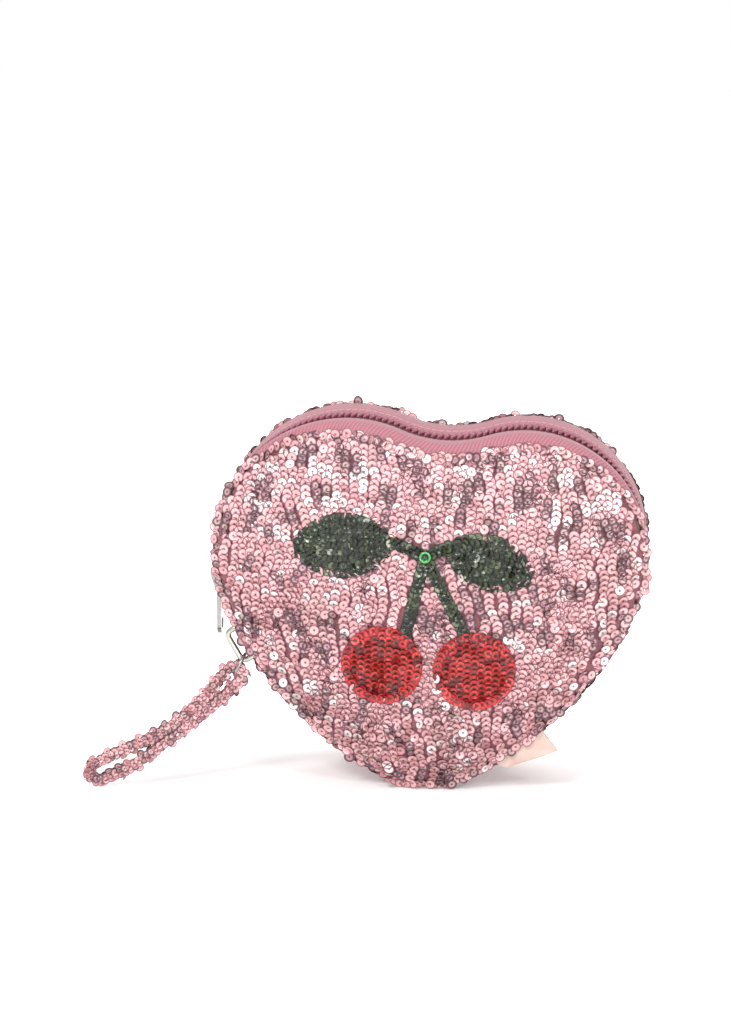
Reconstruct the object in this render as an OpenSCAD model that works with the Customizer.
// Heart shaped zip purse with a hand loop, in millimetres.
// The front faces -Y, +X is to the right and +Z is up.
// The origin is the middle of the small flat foot that the purse stands on.

/* [Heart outline] */
// Radius of the left lobe, which is also the curve of the slider's track
left_lobe_r = 35.4; // [33:0.2:38]
// Distance of the left lobe's centre from the middle
left_lobe_x = 21; // [19:0.2:23]
// Radius of the right lobe
right_lobe_r = 32.8; // [32:0.2:37]
// Distance of the right lobe's centre from the middle
right_lobe_x = 25.6; // [23:0.2:28]
// Height of the lobes' centres above the foot
lobe_z = 63.8; // [61:0.1:67]
// Radius of the soft notch between the lobes
notch_r = 32; // [26:1:38]
// Radius of the long left side
left_side_r = 96; // [88:1:130]
// Radius of the long right side
right_side_r = 98; // [88:1:130]
// Radius of the round tip at the bottom
tip_r = 18; // [14:1:24]
// How far the tip is pressed flat where the purse stands
foot_sink = 0.7; // [0.6:0.1:1.2]

/* [Depth] */
// Width of the band between the front and the back panel
band_w = 27; // [22:1:34]
// How far each padded panel swells out of its seam
puff_rise = 8.5; // [6:0.5:11]
// How flat the middle of the swelling is
puff_flatness = 2.4; // [2:0.1:3]
// How quickly the swelling leaves the seam
puff_roundness = 0.6; // [0.5:0.05:0.8]

/* [Cloth layers] */
// Thickness of the sequinned outer cloth
panel_t = 1; // [0.7:0.1:1.3]
// Thickness of the foam padding
padding_t = 3; // [2:0.25:4]
// Thickness of the lining cloth
lining_t = 0.4; // [0.3:0.1:0.6]
// Width of the lining's turned edge beside the band
lining_edge_inset = 1.5; // [1.2:0.1:1.8]

/* [Zip] */
// Thickness of the zip tape
tape_t = 0.6; // [0.4:0.1:0.8]
// How far the tape lies below the outline beside the chain
tape_hollow = 1.4; // [1:0.1:2]
// Distance from the middle at which the tape starts to rise to its seam
tape_flat_w = 7; // [6:0.5:9]
// Half the gap between the two coils
coil_gap = 0.6; // [0.5:0.05:0.8]
// Width of one coil
coil_w = 2.4; // [2:0.1:3]
// Height of the coils above the tape
coil_h = 1.6; // [1.2:0.1:2]
// Gap under each coil, so that its flat facets never bite into the tape
coil_seat = 0.02; // [0.01:0.01:0.05]
// Distance from the middle at which the lining strip beside the zip starts
facing_start = 5; // [4.6:0.1:5.6]
// Length of zip past the end of each lobe
zip_end_len = 5.4; // [5:0.2:6.4]
// Length of the stop at each end of the chain
stop_len = 1.4; // [1:0.1:1.8]
// Width of the stop
stop_w = 5.2; // [4.6:0.2:6]
// Height of the stop above the tape
stop_h = 1.7; // [1.4:0.1:2]

/* [Slider] */
// Length of the slider along the zip
slider_len = 10.4; // [9:0.2:11]
// Wall of the slider's plates
slider_t = 0.9; // [0.8:0.1:1.1]
// Running clearance between the slider and the chain
slider_fit = 0.28; // [0.2:0.02:0.35]
// Half the thickness of the slider's wedge
wedge_half = 0.42; // [0.35:0.01:0.45]
// Length of the wedge
wedge_len = 2.4; // [2:0.2:3]
// Width of the bridge that holds the pull
bridge_w = 1.8; // [1.4:0.1:2]
// Length of the bridge
bridge_len = 6.6; // [6:0.2:7.4]
// Height of the window under the bridge
bridge_window = 1.5; // [1.4:0.1:1.8]
// Gap between the parked slider and the stop at the left end
slider_stop_gap = 1.07; // [0.6:0.01:1.6]
// Angle that the slider travels over the left lobe
slider_travel = 125; // [122:0.5:126]

/* [Pull] */
// Diameter of the pull's cross bar
pull_bar_d = 1.1; // [0.9:0.1:1.2]
// Width of the pull
pull_w = 5.8; // [5:0.2:6]
// Length of the pull from its bar to its tip
pull_len = 14; // [12:0.5:18]
// Thickness of the pull
pull_t = 1.1; // [0.9:0.1:1.2]
// Width of each arm of the pull's eye
pull_arm_w = 1.5; // [1.2:0.1:1.6]
// Length of the pull's eye from its bar
pull_eye_len = 4.9; // [4.6:0.1:5.4]

/* [Opening corner] */
// Angle between the slider's ends and the corner that folds open
corner_margin = 1.4; // [1:0.1:2]
// Gap between the folding corner and the rest of the front
corner_gap = 0.3; // [0.25:0.05:0.5]

/* [Ring for the loop] */
// Distance of the ring's middle below the left lobe's end, along the seam
ring_down_len = 12.6; // [12:0.1:15]
// Diameter of the ring's wire
ring_wire_d = 1.6; // [1.4:0.1:1.8]
// Width of the ring between its wire centres
ring_w = 9; // [8:0.2:10]
// Height of the ring between its wire centres
ring_h = 3.9; // [3.7:0.1:4.4]
// Corner radius of the ring at its wire centre
ring_corner_r = 1.6; // [1.4:0.1:1.8]
// Depth of the ring's bar inside the seam
ring_bar_inset = 0.8; // [0.5:0.1:1]
// Wall of the ribbon tab around the ring's bar
tab_t = 0.4; // [0.3:0.05:0.5]
// Clearance between the tab and the bar
tab_fit = 0.1; // [0.08:0.01:0.12]
// Width of the ribbon tab along the seam
tab_w = 6; // [5:0.2:6.4]
// Room around the ring in the seam
pocket_fit = 0.8; // [0.7:0.1:1]

/* [Jump ring] */
// Diameter of the jump ring's wire
jump_wire_d = 0.9; // [0.8:0.1:1]
// Radius of the jump ring at its wire centre
jump_r = 3.1; // [2.9:0.1:3.5]
// Direction in which the jump ring hangs
jump_angle = 243; // [240:1:248]
// Clearance between the jump ring and the ring
jump_fit = 0.1; // [0.08:0.02:0.2]

/* [Hand loop] */
// Straight distance from the loop's eye to its far end
loop_reach = 49; // [40:1:70]
// Width of each run of the loop
loop_run_w = 3.6; // [3:0.1:4.5]
// Thickness of the loop
loop_t = 1.8; // [1.4:0.1:2.2]
// Widest gap between the loop's two runs
loop_gap = 2.6; // [1.6:0.1:3.4]
// Half of the gap where the two runs lie side by side
loop_seam = 0.25; // [0.2:0.05:0.4]
// Size of the cut corners at the loop's far end
loop_corner = 1.2; // [0.8:0.1:2]
// Radius of the eye at the loop's near end
loop_eye_r = 3.7; // [3.2:0.1:4.2]
// Clearance around the jump ring in the eye
loop_fit = 0.5; // [0.4:0.05:0.6]
// Direction from the loop's eye to its far end
loop_angle = 211.2; // [209:0.1:216]
// Half of the angle that the hanging loop bends through
loop_bend = 16; // [10:1:20]
// Angle that the loop turns towards the front
loop_yaw = 16; // [12:1:20]

/* [Label] */
// Width of the folded ribbon label along the seam
label_w = 15; // [12:0.5:18]
// Thickness of the folded label
label_t = 0.5; // [0.4:0.05:0.6]
// How far the label reaches into the seam
label_tuck = 1.3; // [1:0.1:1.4]
// How far the label stands out at its upper end
label_out = 6; // [5:0.2:8]
// How far the label stands out at its lower end
label_out_low = 1.8; // [1.4:0.1:4]
// How much shorter the label's free edge is than its sewn edge
label_lean = 1.4; // [0.6:0.1:2]
// Distance of the label's middle above the start of the right side, along the seam
label_up_len = 20.8; // [18:0.2:25]

/* [Motif] */
// Thickness of the sequinned motif on the front panel
motif_t = 1; // [0.7:0.1:1.2]
// Radius of the left cherry
left_cherry_r = 10.5; // [9:0.1:11.5]
// Radius of the right cherry
right_cherry_r = 10.6; // [9:0.1:11.5]
// Place of the left cherry
left_cherry_at = [-10.7, 35.8]; // [-60:0.1:60]
// Place of the right cherry
right_cherry_at = [13.4, 34.6]; // [-60:0.1:60]
// Place of the bead where the stems meet
bead_at = [0.5, 65.2]; // [-60:0.1:70]
// Place that the left cherry's stem runs towards
left_stem_end = [-5.1, 42.2]; // [-60:0.1:60]
// Place that the right cherry's stem runs towards
right_stem_end = [11.9, 42.6]; // [-60:0.1:60]
// Radius of the bead
bead_r = 2.2; // [1.8:0.1:2.6]
// Width of the stems
stem_w = 3.2; // [2.6:0.1:3.8]
// Place of the left leaf's tip
left_leaf_tip = [-34.3, 66.5]; // [-60:0.1:80]
// Place of the left leaf's other end
left_leaf_end = [-7.7, 68.8]; // [-60:0.1:80]
// Width of the left leaf
left_leaf_w = 17; // [12:0.5:18]
// Place of the right leaf's tip
right_leaf_tip = [28.1, 59.9]; // [-60:0.1:80]
// Place of the right leaf's other end
right_leaf_end = [6.2, 67.9]; // [-60:0.1:80]
// Width of the right leaf
right_leaf_w = 14.5; // [11:0.5:17]

/* [Hidden] */
$fn = 96;
// Small overrun of every cut
over = 0.5;
// Room that the cutting blocks take beyond the purse
reach = 3 * left_lobe_r;
// Number of steps along the arcs of a faceted outline
lobe_steps = 13;
notch_steps = 5;
side_steps = 7;
tip_steps = 2;
// Distances of a panel's rings from its middle, as shares of the outline
ring_shares = [1, 0.96, 0.88, 0.73, 0.46];

seam_y = band_w / 2;
front_y = seam_y + puff_rise;
left_c = [-left_lobe_x, lobe_z];
right_c = [right_lobe_x, lobe_z];
tip_c = [0, tip_r - foot_sink];
// Half the angle of the flat foot, seen from the tip's centre
foot_half = acos((tip_r - foot_sink) / tip_r);

function angle_of(v) = atan2(v[1], v[0]);
function along(a) = [cos(a), sin(a)];
// Point at distance d1 from c1 and d2 from c2, to the left of the way from c1 to c2
function meet(c1, d1, c2, d2) =
    let (v = c2 - c1, d = norm(v), a = (d1 * d1 - d2 * d2 + d * d) / (2 * d))
    let (h = sqrt(d1 * d1 - a * a))
    c1 + v / d * a + [-v[1], v[0]] / d * h;

notch_c = meet(left_c, left_lobe_r + notch_r, right_c, right_lobe_r + notch_r);
// Each long side curves about a centre beyond the other side of the purse
left_long_c = meet(left_c, left_side_r - left_lobe_r, tip_c, left_side_r - tip_r);
right_long_c = meet(tip_c, right_side_r - tip_r, right_c, right_side_r - right_lobe_r);

left_top_angle = angle_of(notch_c - left_c);
left_end_angle = 360 + angle_of(left_c - left_long_c);
left_tip_angle = 360 + angle_of(tip_c - left_long_c);
right_top_angle = angle_of(notch_c - right_c);
right_end_angle = angle_of(right_c - right_long_c);
right_tip_angle = angle_of(tip_c - right_long_c);

// Each arc of the outline: centre, radius, first angle, last angle, side of its centre
left_tip_arc = [tip_c, tip_r, 270 - foot_half, left_tip_angle, 1];
left_side_arc = [left_long_c, left_side_r, left_tip_angle, left_end_angle, 1];
left_lobe_arc = [left_c, left_lobe_r, left_end_angle, left_top_angle, 1];
notch_arc = [notch_c, notch_r, left_top_angle + 180, right_top_angle + 180, -1];
right_lobe_arc = [right_c, right_lobe_r, right_top_angle, right_end_angle, 1];
right_side_arc = [right_long_c, right_side_r, right_end_angle, right_tip_angle, 1];
right_tip_arc = [tip_c, tip_r, right_tip_angle, foot_half - 90, 1];
foot_arc = [tip_c, tip_r, foot_half - 90, -foot_half - 90, 1];

// Part of an arc, from and to in shares of its angle
function part_of(arc, from_share, to_share) =
    [arc[0], arc[1], arc[2] + (arc[3] - arc[2]) * from_share,
     arc[2] + (arc[3] - arc[2]) * to_share, arc[4]];
function arc_length(arc) = arc[1] * abs(arc[3] - arc[2]) * PI / 180;
function arc_points(arc, inset, steps) =
    [for (i = [0 : steps - 1])
        arc[0] + (arc[1] - arc[4] * inset) * along(arc[2] + (arc[3] - arc[2]) * i / steps)];
function end_point(arc, inset) = arc[0] + (arc[1] - arc[4] * inset) * along(arc[3]);
function outline(inset) = concat(
    arc_points(left_tip_arc, inset, tip_steps),
    arc_points(left_side_arc, inset, side_steps),
    arc_points(left_lobe_arc, inset, lobe_steps),
    arc_points(notch_arc, inset, notch_steps),
    arc_points(right_lobe_arc, inset, lobe_steps),
    arc_points(right_side_arc, inset, side_steps),
    arc_points(right_tip_arc, inset, tip_steps),
    [end_point(right_tip_arc, inset)]);

outline_n = len(outline(0));
puff_c = [(right_lobe_x - left_lobe_x) / 2, lobe_z * 0.9];

// Swelling of a padded panel at a share of the way from its middle to its seam
function puff(share) = pow(1 - pow(share, puff_flatness), puff_roundness);
// One ring of a panel's surface, at depth y in front of the seam
function ring_at(inset, share, y) =
    [for (p = outline(inset)) let (q = puff_c + share * (p - puff_c)) [q[0], -seam_y - y, q[1]]];
function rings_of(inset, rise) = [for (s = ring_shares) ring_at(inset, s, rise * puff(s))];
function top_of(rise) = [puff_c[0], -seam_y - rise, puff_c[1]];

function flat_list(lists) = [for (l = lists) for (p = l) p];
// Triangles between the rings first and first + 1
function ring_faces(first, flip) =
    [for (i = [0 : outline_n - 1])
        let (j = (i + 1) % outline_n, a = first * outline_n + i, b = first * outline_n + j)
        let (c = a + outline_n, d = b + outline_n)
        each (flip ? [[a, c, b], [b, c, d]] : [[a, b, c], [b, d, c]])];
function cap_faces(ring, tip, flip) =
    [for (i = [0 : outline_n - 1])
        let (a = ring * outline_n + i, b = ring * outline_n + (i + 1) % outline_n)
        flip ? [a, tip, b] : [a, b, tip]];

// Closed shell between an outer and an inner surface, each a list of rings and its top
module shell(outer, outer_top, inner, inner_top) {
    no = len(outer);
    ni = len(inner);
    points = concat(flat_list(outer), flat_list(inner), [outer_top, inner_top]);
    top = (no + ni) * outline_n;
    outer_faces = [for (r = [0 : no - 2]) each ring_faces(r, false)];
    inner_faces = [for (r = [no : no + ni - 2]) each ring_faces(r, true)];
    edge = [for (i = [0 : outline_n - 1])
        let (j = (i + 1) % outline_n, c = no * outline_n)
        each [[i, c + i, j], [j, c + i, c + j]]];
    polyhedron(points, concat(outer_faces, inner_faces, edge,
        cap_faces(no - 1, top, false), cap_faces(no + ni - 1, top + 1, true)));
}

// Layer of the front between two depths below its outer skin, where a depth below 0 lies outside
module front_layer(from_inset, to_inset) {
    shell(rings_of(from_inset, puff_rise - from_inset), top_of(puff_rise - from_inset),
        rings_of(to_inset, puff_rise - to_inset), top_of(puff_rise - to_inset));
}

module front_lining_whole() {
    inset = panel_t + padding_t;
    rise = puff_rise - inset;
    shell(concat([ring_at(lining_edge_inset, 1, 0)], rings_of(inset, rise)), top_of(rise),
        concat([ring_at(lining_edge_inset, 1, -lining_t), ring_at(inset + lining_t, 1, -lining_t)],
            [for (r = [1 : len(ring_shares) - 1])
                ring_at(inset + lining_t, ring_shares[r], (rise - lining_t) * puff(ring_shares[r]))]),
        top_of(rise - lining_t));
}

// Sweeps a profile along an arc. Its points are [depth below the outline, distance to the front]
module sweep(arc, profile) {
    translate([arc[0][0], 0, arc[0][1]])
        rotate([90, 0, 0])
            rotate([0, 0, min(arc[2], arc[3])])
                rotate_extrude(angle = abs(arc[3] - arc[2]))
                    polygon([for (p = profile) [arc[1] - arc[4] * p[0], p[1]]]);
}

// Sweeps such a profile along several arcs in a row, each [arc, steps], as one closed strip.
// The profile starts at the seam and runs over its outer side first. The first rows may have
// a profile of their own
function run_points(run, inset) = concat(
    [for (r = run) each arc_points(r[0], inset, r[1])],
    [end_point(run[len(run) - 1][0], inset)]);
module strip(run, profile, first_profile = [], first_rows = 0) {
    rows = [for (p = profile) run_points(run, p[0])];
    first = [for (p = first_profile) run_points(run, p[0])];
    n = len(rows[0]);
    m = len(profile);
    points = [for (i = [0 : n - 1]) for (j = [0 : m - 1])
        i < first_rows
            ? [first[j][i][0], -first_profile[j][1], first[j][i][1]]
            : [rows[j][i][0], -profile[j][1], rows[j][i][1]]];
    sides = [for (i = [0 : n - 2]) for (j = [0 : m - 1])
        let (k = (j + 1) % m)
        [i * m + j, i * m + k, i * m + m + k, i * m + m + j]];
    first_cap = [for (j = [m - 1 : -1 : 0]) j];
    last_cap = [for (j = [0 : m - 1]) (n - 1) * m + j];
    polyhedron(points, concat(sides, [first_cap, last_cap]));
}

left_run_share = 1 - zip_end_len / arc_length(left_side_arc);
right_run_share = zip_end_len / arc_length(right_side_arc);
// Gap between a stop and the chain
stop_gap = 0.12;
stop_share = (stop_len + stop_gap) / arc_length(left_side_arc);
right_stop_share = (stop_len + stop_gap) / arc_length(right_side_arc);

// The whole way of the zip, less a share of the sides at each end
function zip_way(left_less, right_less, first_steps) = [
    [part_of(left_side_arc, left_run_share + left_less, 1), first_steps],
    [left_lobe_arc, lobe_steps],
    [notch_arc, notch_steps],
    [right_lobe_arc, lobe_steps],
    [part_of(right_side_arc, 0, right_run_share - right_less), 1]];
module along_zip(profile, left_less, right_less) {
    strip(zip_way(left_less, right_less, 1), profile);
}
// The same for a front strip, whose seam edge is cut back beside the ring
module along_front_zip(profile) {
    strip(zip_way(0, 0, 2), profile, cut_back(profile), 2);
}

// Profiles of the zip, for the front half
tape_in = tape_hollow + tape_t;
tape_profile = [
    [0, seam_y], [tape_hollow, tape_flat_w], [tape_hollow, coil_gap],
    [tape_in, coil_gap], [tape_in, tape_flat_w], [tape_t, seam_y]];
coil_profile = [
    [tape_hollow - coil_h, coil_gap + coil_w], [tape_hollow - coil_h, coil_gap],
    [tape_hollow - coil_seat, coil_gap], [tape_hollow - coil_seat, coil_gap + coil_w]];
facing_profile = [
    [tape_t, seam_y], [tape_in, tape_flat_w], [tape_in, facing_start],
    [tape_in + lining_t, facing_start], [tape_in + lining_t, tape_flat_w],
    [tape_t + lining_t, seam_y]];
stop_profile = [
    [tape_hollow, -stop_w / 2], [tape_hollow - stop_h, -stop_w / 2],
    [tape_hollow - stop_h, stop_w / 2], [tape_hollow, stop_w / 2]];

// The parked slider stands a small gap before the stop at the left end
slider_park_run = zip_end_len - stop_len - slider_stop_gap - slider_len / 2;
slider_park = left_end_angle + slider_park_run / left_lobe_r * 180 / PI;

// Angles of the front corner that folds open, about the left lobe's centre
slider_half_angle = slider_len / 2 / left_lobe_r * 180 / PI;
corner_first = slider_park - slider_half_angle - corner_margin;
corner_last = slider_park - slider_travel + slider_half_angle + corner_margin;
corner_mid = (corner_first + corner_last) / 2;
corner_chord = left_lobe_r * cos((corner_first - corner_last) / 2);

// Room of the folding corner, beyond its fold line by a gap
module corner_room(gap) {
    translate([left_c[0], 0, left_c[1]])
        rotate([0, -corner_mid, 0])
            translate([corner_chord + gap, -reach, -reach])
                cube([2 * reach, reach, 2 * reach]);
}
module corner_part() {
    intersection() {
        children();
        corner_room(corner_gap);
    }
}
module still_part() {
    difference() {
        children();
        corner_room(0);
    }
}

// Frame of the ring in the front seam: its X runs down the seam and its Z points outwards
ring_angle = left_end_angle + ring_down_len / left_side_r * 180 / PI;
ring_at_seam = left_long_c + left_side_r * along(ring_angle);
module at_ring() {
    translate([ring_at_seam[0], -seam_y, ring_at_seam[1]])
        rotate([0, 90 - ring_angle, 0])
            mirror([1, 0, 0])
                children();
}
pocket_half = ring_wire_d / 2 + pocket_fit;
function cut_back(profile) =
    let (slope = tape_hollow / (seam_y - tape_flat_w))
    [for (p = profile)
        p[1] == seam_y ? [p[0] + pocket_half * slope, seam_y - pocket_half] : p];
module ring_pocket() {
    at_ring()
        translate([-ring_w / 2 - pocket_half, -pocket_half, -ring_bar_inset - pocket_half])
            cube([ring_w + 2 * pocket_half, 2 * pocket_half,
                ring_bar_inset + pocket_half + tape_hollow]);
}

// Frame of the label in the front seam
label_angle = right_tip_angle + label_up_len / right_side_r * 180 / PI;
label_at_seam = right_long_c + right_side_r * along(label_angle);
module at_label() {
    translate([label_at_seam[0], -seam_y, label_at_seam[1]])
        rotate([0, 90 - label_angle, 0])
            rotate([90, 0, 0])
                mirror([0, 0, 1])
                    children();
}
label_shape = [
    [-label_w / 2, -label_tuck], [label_w / 2, -label_tuck],
    [label_w / 2, 0], [label_w / 2 - label_lean, label_out_low],
    [-label_w / 2, label_out], [-label_w / 2, 0]];
module label_plate(spare) {
    at_label()
        translate([0, 0, -spare])
            linear_extrude(label_t + spare)
                polygon(label_shape);
}

sequin_pink = "#d9a0a6";
plum = "#8d5a60";
tape_pink = "#c98092";
lining_cream = "#ead9cf";
foam = "#f3efe6";
nickel = "#b9b4aa";
cherry_red = "#c3161c";
leaf_green = "#16301f";
bead_green = "#2f8f4a";
ribbon_cream = "#efd9c8";

module front_panel_whole() {
    difference() {
        front_layer(0, panel_t);
        ring_pocket();
    }
}
module front_padding_whole() {
    difference() {
        front_layer(panel_t, panel_t + padding_t);
        ring_pocket();
    }
}
module front_panel() {
    color(sequin_pink) still_part() front_panel_whole();
}
module front_panel_corner() {
    color(sequin_pink) corner_part() front_panel_whole();
}
module front_padding() {
    color(foam) still_part() front_padding_whole();
}
module front_padding_corner() {
    color(foam) corner_part() front_padding_whole();
}
module front_lining() {
    color(lining_cream)
        still_part()
            difference() {
                front_lining_whole();
                ring_pocket();
            }
}
module front_lining_corner() {
    color(lining_cream) corner_part() front_lining_whole();
}
module back_panel() {
    color(sequin_pink) mirror([0, 1, 0]) front_layer(0, panel_t);
}
module back_padding() {
    color(foam) mirror([0, 1, 0]) front_layer(panel_t, panel_t + padding_t);
}
module back_lining() {
    color(lining_cream) mirror([0, 1, 0]) front_lining_whole();
}

// Strip round the bottom between two insets, from seam to seam
module lower_strip(from_inset, to_inset) {
    profile = [[from_inset, seam_y], [from_inset, -seam_y], [to_inset, -seam_y], [to_inset, seam_y]];
    strip([
        [part_of(right_side_arc, right_run_share, 1), side_steps],
        [right_tip_arc, tip_steps],
        [foot_arc, 1],
        [left_tip_arc, tip_steps],
        [part_of(left_side_arc, 0, left_run_share), side_steps]], profile);
}
module lower_gusset() {
    color(sequin_pink)
        difference() {
            lower_strip(0, panel_t);
            ring_pocket();
            label_plate(over);
        }
}
module lower_gusset_lining() {
    color(lining_cream)
        difference() {
            lower_strip(panel_t, panel_t + lining_t);
            ring_pocket();
            label_plate(over);
        }
}

module front_zip_tape() {
    color(tape_pink) still_part() along_front_zip(tape_profile);
}
module front_zip_tape_corner() {
    color(tape_pink) corner_part() along_front_zip(tape_profile);
}
module back_zip_tape() {
    color(tape_pink) mirror([0, 1, 0]) along_zip(tape_profile, 0, 0);
}
module front_zip_facing() {
    color(lining_cream) still_part() along_front_zip(facing_profile);
}
module front_zip_facing_corner() {
    color(lining_cream) corner_part() along_front_zip(facing_profile);
}
module back_zip_facing() {
    color(lining_cream) mirror([0, 1, 0]) along_zip(facing_profile, 0, 0);
}
module front_coil() {
    color(plum) still_part() along_zip(coil_profile, stop_share, right_stop_share);
}
module front_coil_corner() {
    color(plum) corner_part() along_zip(coil_profile, stop_share, right_stop_share);
}
module back_coil() {
    color(plum) mirror([0, 1, 0]) along_zip(coil_profile, stop_share, right_stop_share);
}
module zip_stop_left() {
    to_share = left_run_share + stop_len / arc_length(left_side_arc);
    color(nickel) sweep(part_of(left_side_arc, left_run_share, to_share), stop_profile);
}
module zip_stop_right() {
    from_share = right_run_share - stop_len / arc_length(right_side_arc);
    color(nickel) sweep(part_of(right_side_arc, from_share, right_run_share), stop_profile);
}

// The slider follows the left lobe, so all of it is turned about that lobe's centre
slider_top = coil_h - tape_hollow + slider_fit;
slider_floor = tape_in + slider_fit;
slider_half_w = coil_gap + coil_w + slider_fit + slider_t;
flange_end = tape_hollow - slider_fit - tape_t;
window_top = slider_top + slider_t + bridge_window;
pull_axis_r = left_lobe_r + slider_top + slider_t + bridge_window / 2;
function slider_arc(from_run, to_run) =
    [left_c, left_lobe_r, slider_park + from_run / left_lobe_r * 180 / PI,
     slider_park + to_run / left_lobe_r * 180 / PI, 1];
function box_profile(from_depth, to_depth, half_w) =
    [[from_depth, -half_w], [to_depth, -half_w], [to_depth, half_w], [from_depth, half_w]];
module zip_slider() {
    half = slider_len / 2;
    side = coil_gap + coil_w + slider_fit;
    color(nickel)
        union() {
            sweep(slider_arc(-half, half), [
                [-slider_top - slider_t, -slider_half_w], [-slider_top - slider_t, slider_half_w],
                [flange_end, slider_half_w], [flange_end, side], [-slider_top, side],
                [-slider_top, -side], [flange_end, -side], [flange_end, -slider_half_w]]);
            sweep(slider_arc(-half, half),
                box_profile(slider_floor, slider_floor + slider_t, slider_half_w));
            sweep(slider_arc(half - wedge_len, half),
                box_profile(-slider_top - slider_t / 2, slider_floor + slider_t / 2, wedge_half));
            difference() {
                sweep(slider_arc(-bridge_len / 2, bridge_len / 2),
                    box_profile(-slider_top - slider_t / 2, -window_top - slider_t, bridge_w / 2));
                sweep(slider_arc(slider_t - bridge_len / 2, bridge_len / 2 - slider_t),
                    box_profile(-slider_top - slider_t, -window_top, bridge_w));
            }
        }
}

// The pull hangs straight down from its bar under the bridge
pull_axis = left_c + pull_axis_r * along(slider_park);
module slider_pull() {
    inner_half = pull_w / 2 - pull_arm_w;
    color(nickel)
        translate([pull_axis[0], 0, pull_axis[1]])
            rotate([0, 180, 0])
                union() {
                    rotate([90, 0, 0])
                        cylinder(h = pull_w, d = pull_bar_d, center = true);
                    for (s = [-1, 1])
                        translate([-pull_t / 2, s * (inner_half + pull_arm_w / 2) - pull_arm_w / 2, 0])
                            cube([pull_t, pull_arm_w, pull_eye_len + pull_arm_w]);
                    translate([-pull_t / 2, 0, 0])
                        rotate([90, 0, 90])
                            linear_extrude(pull_t)
                                difference() {
                                    union() {
                                        translate([-pull_w / 2, pull_eye_len])
                                            square([pull_w, pull_len - pull_eye_len - pull_w / 2]);
                                        translate([0, pull_len - pull_w / 2])
                                            circle(d = pull_w);
                                    }
                                    translate([0, pull_len - pull_w / 2])
                                        circle(d = pull_w / 2);
                                }
                }
}

tab_in_r = ring_wire_d / 2 + tab_fit;
tab_out_r = tab_in_r + tab_t;
module ring_tab() {
    color(tape_pink)
        at_ring()
            translate([0, 0, -ring_bar_inset])
                difference() {
                    union() {
                        rotate([0, 90, 0])
                            cylinder(h = tab_w, r = tab_out_r, center = true);
                        translate([-tab_w / 2, -tab_t, -pocket_half])
                            cube([tab_w, 2 * tab_t, pocket_half]);
                    }
                    rotate([0, 90, 0])
                        cylinder(h = tab_w + 2 * over, r = tab_in_r, center = true);
                }
}

// Rounded rectangle of round wire
module wire_corner(at, turn) {
    translate([at[0], 0, at[1]])
        rotate([90, 0, 0])
            rotate([0, 0, turn])
                rotate_extrude(angle = 90)
                    translate([ring_corner_r, 0])
                        circle(d = ring_wire_d);
}
module wire_bar(at, len, turn) {
    translate([at[0], 0, at[1]])
        rotate([0, turn, 0])
            cylinder(h = len, d = ring_wire_d, center = true);
}
ring_flat_w = ring_w - 2 * ring_corner_r;
ring_flat_h = ring_h - 2 * ring_corner_r;
module strap_ring() {
    color(nickel)
        at_ring()
            translate([0, 0, -ring_bar_inset])
                union() {
                    wire_bar([0, 0], ring_flat_w, 90);
                    wire_bar([0, ring_h], ring_flat_w, 90);
                    wire_bar([-ring_w / 2, ring_h / 2], ring_flat_h, 0);
                    wire_bar([ring_w / 2, ring_h / 2], ring_flat_h, 0);
                    wire_corner([ring_flat_w / 2, ring_corner_r], 270);
                    wire_corner([ring_flat_w / 2, ring_h - ring_corner_r], 0);
                    wire_corner([-ring_flat_w / 2, ring_h - ring_corner_r], 90);
                    wire_corner([-ring_flat_w / 2, ring_corner_r], 180);
                }
}

// The jump ring hangs in the ring's lower outer corner
ring_out = along(ring_angle);
ring_down = along(ring_angle + 90);
corner_wire = ring_at_seam + ring_down * ring_flat_w / 2
    + ring_out * (ring_h - ring_corner_r - ring_bar_inset) + ring_corner_r * along(jump_angle);
jump_c = corner_wire + (jump_r - jump_wire_d / 2 - ring_wire_d / 2 - jump_fit) * along(jump_angle);
loop_eye = jump_c + jump_r * along(jump_angle);
module jump_ring() {
    color(nickel)
        translate([jump_c[0], -seam_y, jump_c[1]])
            rotate([0, -jump_angle - 90, 0])
                rotate([0, 90, 0])
                    rotate_extrude()
                        translate([jump_r, 0])
                            circle(d = jump_wire_d);
}

// The loop lies in its own plane. A point there is its share along the loop and its side offset
loop_bend_r = loop_reach / 2 / sin(loop_bend);
loop_steps = 24;
loop_end_half = loop_run_w + loop_gap / 2;
function loop_point(share, side) =
    let (a = loop_angle + loop_bend - 2 * loop_bend * share)
    loop_bend_r * (along(loop_angle + loop_bend - 90) - along(a - 90)) + side * along(a + 90);
// Points behind the eye, from one side of the loop round to the other
function eye_arc(r) =
    [for (i = [1 : loop_steps - 1])
        r * along(loop_angle + loop_bend + 270 - 180 * i / loop_steps)];
function loop_half(share) = loop_eye_r + (loop_end_half - loop_eye_r) * share;
loop_hole_r = jump_wire_d / 2 + loop_fit;
function slit_half(share) =
    loop_seam + (loop_hole_r - loop_seam) * pow(1 - share, 4) + (loop_gap / 2 - loop_seam) * share;
loop_len = 2 * loop_bend_r * loop_bend * PI / 180;
loop_last_share = 1 - loop_corner / loop_len;
slit_last_share = 1 - loop_run_w / loop_len;
loop_outer = concat(
    [for (i = [0 : loop_steps])
        loop_point(loop_last_share * i / loop_steps, loop_half(loop_last_share * i / loop_steps))],
    [loop_point(1, loop_end_half - loop_corner), loop_point(1, loop_corner - loop_end_half)],
    [for (i = [loop_steps : -1 : 0])
        loop_point(loop_last_share * i / loop_steps, -loop_half(loop_last_share * i / loop_steps))],
    eye_arc(loop_eye_r));
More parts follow.
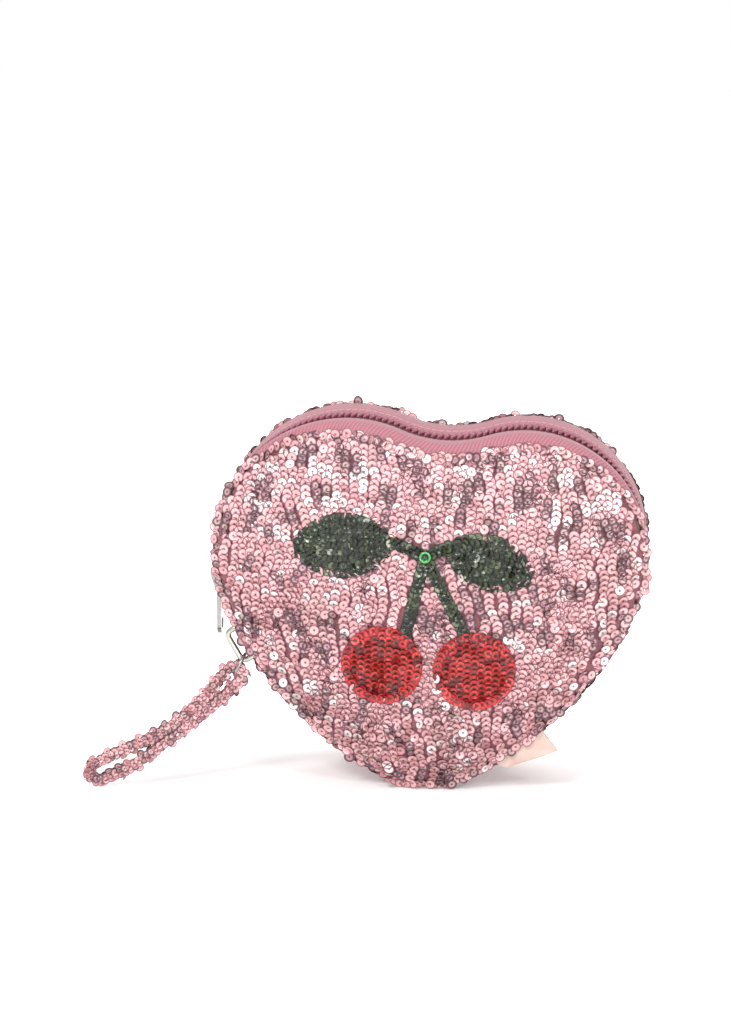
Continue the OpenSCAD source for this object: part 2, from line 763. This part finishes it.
loop_slit = concat(
    [for (i = [0 : loop_steps])
        loop_point(slit_last_share * i / loop_steps, slit_half(slit_last_share * i / loop_steps))],
    [for (i = [loop_steps : -1 : 0])
        loop_point(slit_last_share * i / loop_steps, -slit_half(slit_last_share * i / loop_steps))],
    eye_arc(loop_hole_r));
module wrist_strap() {
    color(sequin_pink)
        translate([loop_eye[0], -seam_y, loop_eye[1]])
            rotate([0, 0, loop_yaw])
                rotate([90, 0, 0])
                    translate([0, 0, -loop_t / 2])
                        linear_extrude(loop_t)
                            difference() {
                                polygon(loop_outer);
                                polygon(loop_slit);
                            }
}

module side_label() {
    color(ribbon_cream) label_plate(0);
}

// Motif: flat shapes seen from the front, laid on the swollen front panel
module on_front(lift) {
    intersection() {
        front_layer(-lift - motif_t, -lift);
        rotate([90, 0, 0])
            linear_extrude(front_y + 3 * motif_t)
                children();
    }
}
module leaf_shape(from, to, width) {
    span = norm(to - from);
    r = (span * span / 4 + width * width / 4) / width;
    translate((from + to) / 2)
        rotate(angle_of(to - from))
            intersection() {
                translate([0, r - width / 2])
                    circle(r = r, $fn = 40);
                translate([0, width / 2 - r])
                    circle(r = r, $fn = 40);
            }
}
// Gap between a stem and its cherry
stem_gap = 0.05;
// Length of a stem, which runs from one point towards another and stops at its cherry
function stem_len(from, to, cherry, r) =
    let (way = (to - from) / norm(to - from), v = cherry - from)
    let (off = max(abs(cross(v, way)) - stem_w / 2, 0))
    v * way - sqrt(pow(r + stem_gap, 2) - off * off);
module stem_shape(from, to, len) {
    translate(from)
        rotate(angle_of(to - from))
            translate([0, -stem_w / 2])
                square([len, stem_w]);
}
module left_cherry() {
    color(cherry_red) on_front(0) translate(left_cherry_at) circle(r = left_cherry_r, $fn = 32);
}
module right_cherry() {
    color(cherry_red) on_front(0) translate(right_cherry_at) circle(r = right_cherry_r, $fn = 32);
}
module left_leaf() {
    color(leaf_green) on_front(0) leaf_shape(left_leaf_end, left_leaf_tip, left_leaf_w);
}
module right_leaf() {
    color(leaf_green) on_front(0) leaf_shape(right_leaf_end, right_leaf_tip, right_leaf_w);
}
module cherry_stems() {
    color(leaf_green)
        on_front(0)
            union() {
                stem_shape(bead_at, left_stem_end,
                    stem_len(bead_at, left_stem_end, left_cherry_at, left_cherry_r));
                stem_shape(bead_at, right_stem_end,
                    stem_len(bead_at, right_stem_end, right_cherry_at, right_cherry_r));
                stem_shape(bead_at, left_leaf_end, norm(left_leaf_end - bead_at) - stem_w / 2);
                stem_shape(bead_at, right_leaf_end, norm(right_leaf_end - bead_at) - stem_w / 2);
            }
}
module stem_bead() {
    color(bead_green) on_front(motif_t) translate(bead_at) circle(r = bead_r, $fn = 16);
}

front_panel();
front_panel_corner();
front_padding();
front_padding_corner();
front_lining();
front_lining_corner();
back_panel();
back_padding();
back_lining();
lower_gusset();
lower_gusset_lining();
front_zip_tape();
front_zip_tape_corner();
back_zip_tape();
front_zip_facing();
front_zip_facing_corner();
back_zip_facing();
front_coil();
front_coil_corner();
back_coil();
zip_stop_left();
zip_stop_right();
zip_slider();
slider_pull();
ring_tab();
strap_ring();
jump_ring();
wrist_strap();
side_label();
left_cherry();
right_cherry();
left_leaf();
right_leaf();
cherry_stems();
stem_bead();
